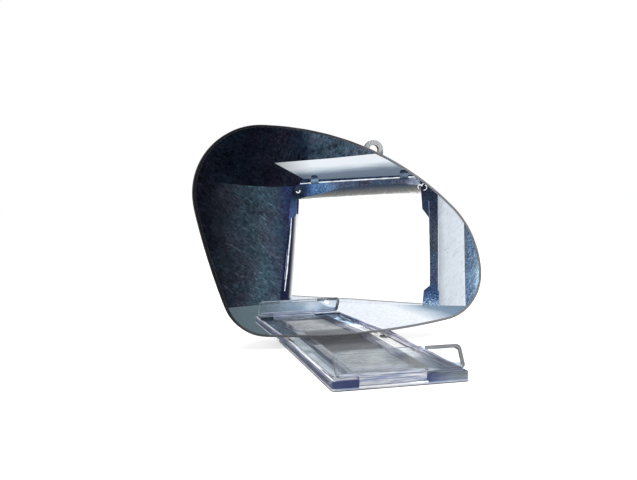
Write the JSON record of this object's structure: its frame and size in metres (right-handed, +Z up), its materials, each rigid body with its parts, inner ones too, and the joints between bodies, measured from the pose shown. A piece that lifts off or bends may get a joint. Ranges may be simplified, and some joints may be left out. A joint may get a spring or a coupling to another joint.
{
  "type": "traffic convex mirror",
  "caption": "Small convex safety mirror with an egg-shaped glass on a tilt and swivel head, carried by a folding clear plastic stand with a hinged front flap.",
  "frame": {"origin": "centre of the four screw holes, on the underside of the base tray", "axes": "+Z up, +X to the right as seen from in front of the mirror, +Y from the mirror's face towards its back; the mirror faces -Y"},
  "size_m": [0.1857, 0.127, 0.1318],
  "materials": {
    "clear_tray": "clear moulded styrene with a faint blue-violet tint, light scuffs",
    "clear_insert": "clear moulded styrene, bevelled edges",
    "clear_flap": "clear moulded styrene, thick bead edge",
    "clear_panel": "clear moulded styrene",
    "foot_rubber": "matt black self-adhesive rubber",
    "ballast_steel": "brushed dark steel",
    "tape": "double-sided tape",
    "pin_steel": "drawn stainless steel",
    "bracket_steel": "zinc-plated pressed steel",
    "screw_steel": "zinc-plated steel",
    "black_nylon": "black glass-filled nylon",
    "white_nylon": "natural nylon",
    "knob_plastic": "black moulded plastic",
    "insert_brass": "turned brass",
    "carrier_plastic": "fine-grained dark grey moulded plastic",
    "pad_foam": "black foam adhesive pad",
    "mirror_face": "convex silvered glass with fine wiping scratches",
    "trim_rubber": "dark grey moulded edge trim"
  },
  "bodies": {
    "base": {"base_tray": "clear_tray", "rubber_feet": "foot_rubber", "insert_frame": "clear_insert", "ballast_plate": "ballast_steel", "ballast_tape": "tape", "flap_hinge_pin": "pin_steel", "panel_hinge_pins": "pin_steel"},
    "flap": {"front_flap": "clear_flap"},
    "panel": {"back_panel": "clear_panel", "hinge_rail": "clear_panel", "panel_bracket": "bracket_steel", "panel_screws": "screw_steel", "swivel_pin": "pin_steel", "swivel_push_nut": "screw_steel"},
    "swivel": {"swivel_block": "black_nylon", "swivel_washers": "white_nylon", "tilt_washers": "white_nylon"},
    "head": {"head_bracket": "bracket_steel", "bracket_screws": "screw_steel", "tilt_pin": "pin_steel", "carrier_shell": "carrier_plastic", "adhesive_pad": "pad_foam", "mirror_glass": "mirror_face", "edge_trim": "trim_rubber"},
    "knob": {"lock_knob": "knob_plastic", "knob_insert": "insert_brass"}
  },
  "joints": [
    {"name": "flap_hinge", "type": "hinge", "parent": "base", "child": "flap", "pos_m": [0, -0.0603, 0.0026], "axis": [1, 0, 0], "range_deg": [-56, 15]},
    {"name": "panel_lean", "type": "hinge", "parent": "base", "child": "panel", "pos_m": [0, 0.0593, 0.0044], "axis": [-1, 0, 0], "range_deg": [0, 90]},
    {"name": "head_swivel", "type": "hinge", "parent": "panel", "child": "swivel", "pos_m": [0, 0.0522, 0.0672], "axis": [0, 0, 1], "range_deg": [-14, 9]},
    {"name": "head_tilt", "type": "hinge", "parent": "swivel", "child": "head", "pos_m": [0.00035, 0.04521, 0.0672], "axis": [0.9987, 0.0506, 0], "range_deg": [-8, 4]},
    {"name": "knob_turn", "type": "hinge", "parent": "head", "child": "knob", "pos_m": [0.01234, 0.04582, 0.0672], "axis": [0.9987, 0.0506, 0], "range_deg": [0, 360]}
  ]
}
